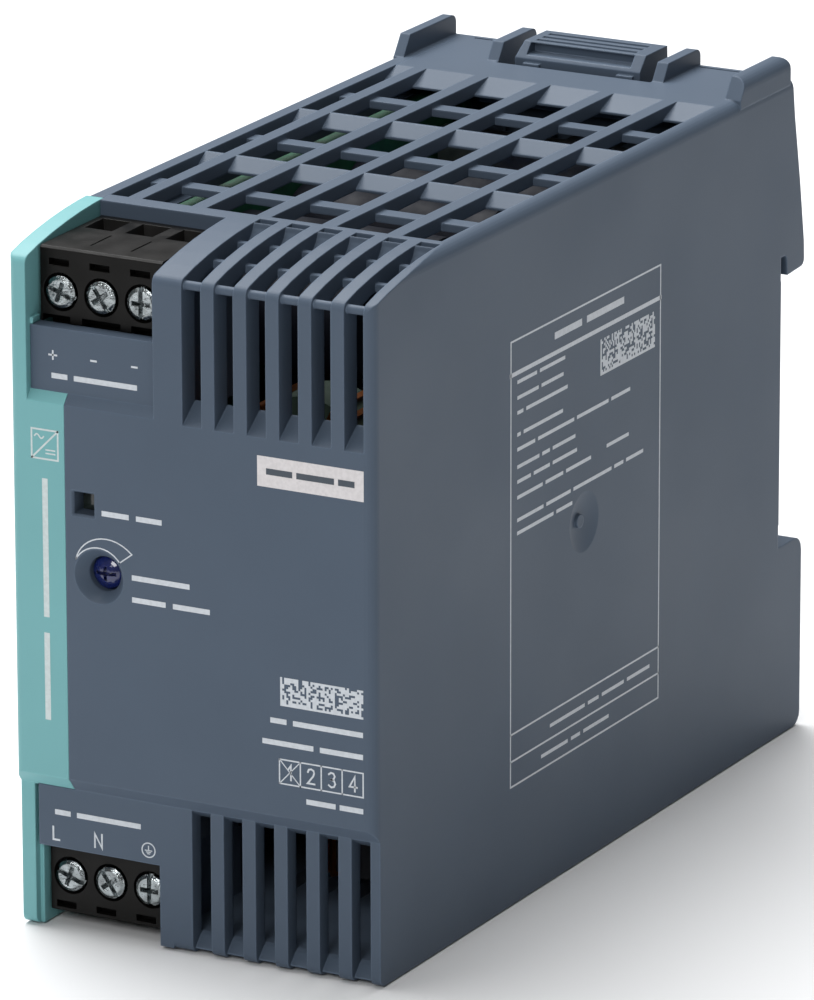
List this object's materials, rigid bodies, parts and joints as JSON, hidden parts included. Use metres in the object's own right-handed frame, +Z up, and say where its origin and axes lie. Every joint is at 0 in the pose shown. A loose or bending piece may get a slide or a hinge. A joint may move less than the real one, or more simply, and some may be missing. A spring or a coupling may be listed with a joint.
{
  "type": "din rail power supply",
  "caption": "Slim DIN rail power supply in a vented plastic casing with screw terminals, a status window, a trimmer, a pull-out slide and a sprung rail catch.",
  "frame": {"origin": "on the rail seat at the back, at mid width and at the height of the rail's centre line", "axes": "+X to the right seen from the front, +Y towards the rail behind the casing, +Z up"},
  "size_m": [0.045, 0.1042, 0.0819],
  "materials": {
    "casing_grey": "fine spark-eroded texture, blue-grey polycarbonate",
    "trim_teal": "satin blue-green plastic",
    "block_black": "satin black polyamide",
    "tinned_contact": "tinned copper alloy",
    "zinc_steel": "bright zinc plated steel",
    "spring_steel": "spring steel wire",
    "board_green": "glass epoxy board with solder mask",
    "sheet_insulation": "polyester sheet",
    "led_epoxy": "diffused epoxy",
    "clear_plastic": "clear polycarbonate",
    "trimmer_case": "blue thermoset",
    "trimmer_blue": "blue rotor",
    "powder_core": "coated powder core",
    "copper_wire": "enamelled copper",
    "can_sleeve_small": "sleeved electrolytic can",
    "can_sleeve_large": "sleeved electrolytic can",
    "ferrite": "sintered ferrite",
    "bobbin_black": "phenolic bobbin",
    "winding_tape": "polyester tape over the winding",
    "film_capacitor": "film capacitor case",
    "disc_ceramic": "ceramic disc",
    "fuse_body": "radial fuse case",
    "varistor_disc": "epoxy coated disc",
    "thermistor_disc": "epoxy coated disc",
    "package_black": "moulded semiconductor package",
    "heatsink_aluminium": "extruded aluminium"
  },
  "bodies": {
    "housing": {"main_housing": "casing_grey", "left_cover": "casing_grey", "front_strip": "trim_teal", "dc_terminal_block": "block_black", "dc_contacts": "tinned_contact", "ac_terminal_block": "block_black", "ac_contacts": "tinned_contact", "catch_spring": "spring_steel", "circuit_board": "board_green", "insulating_sheet": "sheet_insulation", "status_led": "led_epoxy", "light_pipe": "clear_plastic", "trimmer_body": "trimmer_case", "output_choke_core": "powder_core", "output_choke_windings": "copper_wire", "output_capacitors": "can_sleeve_small", "bulk_capacitor": "can_sleeve_large", "transformer_core": "ferrite", "transformer_bobbin": "bobbin_black", "transformer_winding": "winding_tape", "line_choke_core": "ferrite", "line_choke_windings": "copper_wire", "interference_capacitor": "film_capacitor", "safety_capacitors": "disc_ceramic", "fuse": "fuse_body", "varistor": "varistor_disc", "inrush_thermistor": "thermistor_disc", "bridge_rectifier": "package_black", "switching_transistor": "package_black", "primary_heatsink": "heatsink_aluminium", "output_rectifier": "package_black", "secondary_heatsink": "heatsink_aluminium", "heatsink_screws": "zinc_steel", "optocoupler": "package_black", "control_chip": "package_black"},
    "dc_screw_1": {"dc_screw_1": "zinc_steel"},
    "dc_clamp_1": {"dc_clamp_1": "zinc_steel"},
    "dc_screw_2": {"dc_screw_2": "zinc_steel"},
    "dc_clamp_2": {"dc_clamp_2": "zinc_steel"},
    "dc_screw_3": {"dc_screw_3": "zinc_steel"},
    "dc_clamp_3": {"dc_clamp_3": "zinc_steel"},
    "ac_screw_1": {"ac_screw_1": "zinc_steel"},
    "ac_clamp_1": {"ac_clamp_1": "zinc_steel"},
    "ac_screw_2": {"ac_screw_2": "zinc_steel"},
    "ac_clamp_2": {"ac_clamp_2": "zinc_steel"},
    "ac_screw_3": {"ac_screw_3": "zinc_steel"},
    "ac_clamp_3": {"ac_clamp_3": "zinc_steel"},
    "trimmer_rotor": {"trimmer_rotor": "trimmer_blue"},
    "mounting_slide": {"mounting_slide": "casing_grey"},
    "rail_catch": {"rail_catch": "casing_grey"}
  },
  "joints": [
    {"name": "dc_screw_1_turn", "type": "hinge", "parent": "housing", "child": "dc_screw_1", "pos_m": [-0.01746, -0.0954, 0.03185], "axis": [0, 1, 0], "range_deg": [0, 1585]},
    {"name": "dc_clamp_1_lift", "type": "slide", "parent": "housing", "child": "dc_clamp_1", "axis": [0, -1, 0], "range_m": [0, 0.0022]},
    {"name": "dc_screw_2_turn", "type": "hinge", "parent": "housing", "child": "dc_screw_2", "pos_m": [-0.01238, -0.0954, 0.03185], "axis": [0, 1, 0], "range_deg": [0, 1585]},
    {"name": "dc_clamp_2_lift", "type": "slide", "parent": "housing", "child": "dc_clamp_2", "axis": [0, -1, 0], "range_m": [0, 0.0022]},
    {"name": "dc_screw_3_turn", "type": "hinge", "parent": "housing", "child": "dc_screw_3", "pos_m": [-0.0073, -0.0954, 0.03185], "axis": [0, 1, 0], "range_deg": [0, 1585]},
    {"name": "dc_clamp_3_lift", "type": "slide", "parent": "housing", "child": "dc_clamp_3", "axis": [0, -1, 0], "range_m": [0, 0.0022]},
    {"name": "ac_screw_1_turn", "type": "hinge", "parent": "housing", "child": "ac_screw_1", "pos_m": [-0.01746, -0.095, -0.0351], "axis": [0, 1, 0], "range_deg": [0, 1585]},
    {"name": "ac_clamp_1_lift", "type": "slide", "parent": "housing", "child": "ac_clamp_1", "axis": [0, -1, 0], "range_m": [0, 0.0022]},
    {"name": "ac_screw_2_turn", "type": "hinge", "parent": "housing", "child": "ac_screw_2", "pos_m": [-0.01238, -0.095, -0.0351], "axis": [0, 1, 0], "range_deg": [0, 1585]},
    {"name": "ac_clamp_2_lift", "type": "slide", "parent": "housing", "child": "ac_clamp_2", "axis": [0, -1, 0], "range_m": [0, 0.0022]},
    {"name": "ac_screw_3_turn", "type": "hinge", "parent": "housing", "child": "ac_screw_3", "pos_m": [-0.0073, -0.095, -0.0351], "axis": [0, 1, 0], "range_deg": [0, 1585]},
    {"name": "ac_clamp_3_lift", "type": "slide", "parent": "housing", "child": "ac_clamp_3", "axis": [0, -1, 0], "range_m": [0, 0.0022]},
    {"name": "trimmer_turn", "type": "hinge", "parent": "housing", "child": "trimmer_rotor", "pos_m": [-0.01155, -0.0968, 0.00115], "axis": [0, 1, 0], "range_deg": [-105, 105]},
    {"name": "mounting_slide_pull", "type": "slide", "parent": "housing", "child": "mounting_slide", "axis": [0, 0, 1], "range_m": [0, 0.008]},
    {"name": "rail_catch_pull", "type": "slide", "parent": "housing", "child": "rail_catch", "axis": [0, 0, -1], "range_m": [0, 0.0032], "stiffness_N_per_m": 600, "springref_m": -0.002, "deforming": ["catch_spring"]}
  ],
  "couplings": [
    {"joint": "dc_screw_1_turn", "follows": "dc_clamp_1_lift", "rad_per_m": 12566},
    {"joint": "dc_screw_2_turn", "follows": "dc_clamp_2_lift", "rad_per_m": 12566},
    {"joint": "dc_screw_3_turn", "follows": "dc_clamp_3_lift", "rad_per_m": 12566},
    {"joint": "ac_screw_1_turn", "follows": "ac_clamp_1_lift", "rad_per_m": 12566},
    {"joint": "ac_screw_2_turn", "follows": "ac_clamp_2_lift", "rad_per_m": 12566},
    {"joint": "ac_screw_3_turn", "follows": "ac_clamp_3_lift", "rad_per_m": 12566}
  ]
}
